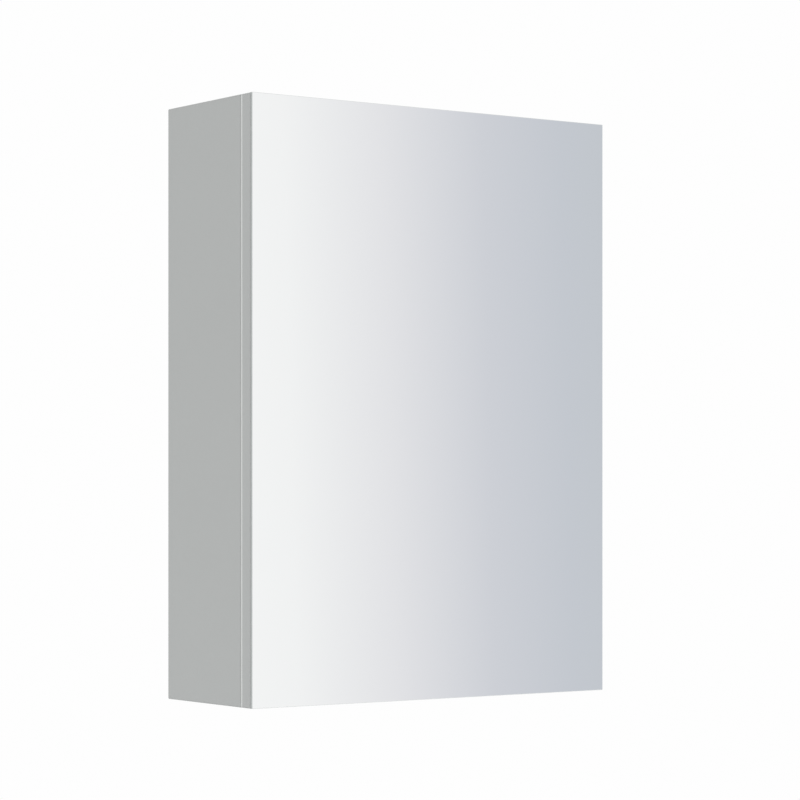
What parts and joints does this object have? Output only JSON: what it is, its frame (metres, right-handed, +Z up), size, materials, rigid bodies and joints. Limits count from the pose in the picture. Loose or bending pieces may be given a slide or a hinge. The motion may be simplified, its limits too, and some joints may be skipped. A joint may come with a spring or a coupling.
{
  "type": "medicine cabinet with mirror",
  "caption": "Wall-hung box cabinet whose whole front is a hinged, frameless mirror door, with glass shelves inside.",
  "frame": {"origin": "centre of the wall rail's screw line, on the wall plane", "axes": "+X to the right seen from the front, +Y into the wall, +Z up; the mirror faces -Y"},
  "size_m": [0.4442, 0.16, 0.6],
  "materials": {
    "grey_board": "light grey melamine-faced board, satin",
    "white_panel": "white lacquered back panel",
    "white_plastic": "moulded white plastic",
    "dark_plastic": "black rubber",
    "zinc": "zinc die casting",
    "steel": "nickel-plated steel",
    "hinge_steel": "bright rolled steel",
    "beech": "beech",
    "seal": "pale soft strip",
    "clear_soft": "clear soft plastic",
    "shelf_glass": "clear tempered glass",
    "mirror": "silvered float glass",
    "film": "adhesive film",
    "ferrite": "sintered ferrite magnet"
  },
  "bodies": {
    "cabinet": {"side_panel_left": "grey_board", "side_panel_right": "grey_board", "top_panel": "grey_board", "bottom_panel": "grey_board", "back_panel": "white_panel", "cam_locks": "zinc", "cam_bolts": "steel", "dowels": "beech", "dust_seal": "seal", "door_bumpers": "clear_soft", "shelf_lower": "shelf_glass", "shelf_upper": "shelf_glass", "shelf_pins": "steel", "shelf_pads": "clear_soft", "wall_rail": "steel", "hanger_housing_left": "white_plastic", "hanger_housing_right": "white_plastic", "hanger_hook_left": "steel", "hanger_hook_right": "steel", "adjusting_screws": "steel", "hanger_screws": "steel", "hanger_cover_left": "white_plastic", "hanger_cover_right": "white_plastic", "wall_buffers": "dark_plastic", "hinge_leaf_box": "hinge_steel", "hinge_pin": "hinge_steel", "hinge_screws_box": "steel", "catch_housing": "white_plastic", "catch_magnet": "ferrite", "catch_plates": "steel", "catch_screws": "steel"},
    "door": {"door_panel": "grey_board", "adhesive_film": "film", "mirror_glass": "mirror", "hinge_leaf_door": "hinge_steel", "hinge_screws_door": "steel", "strike_plate": "steel", "strike_screw": "steel"}
  },
  "joints": [
    {"name": "door_hinge", "type": "hinge", "parent": "cabinet", "child": "door", "pos_m": [0.2222, -0.1397, -0.24], "axis": [0, 0, 1], "range_deg": [0, 170]}
  ]
}
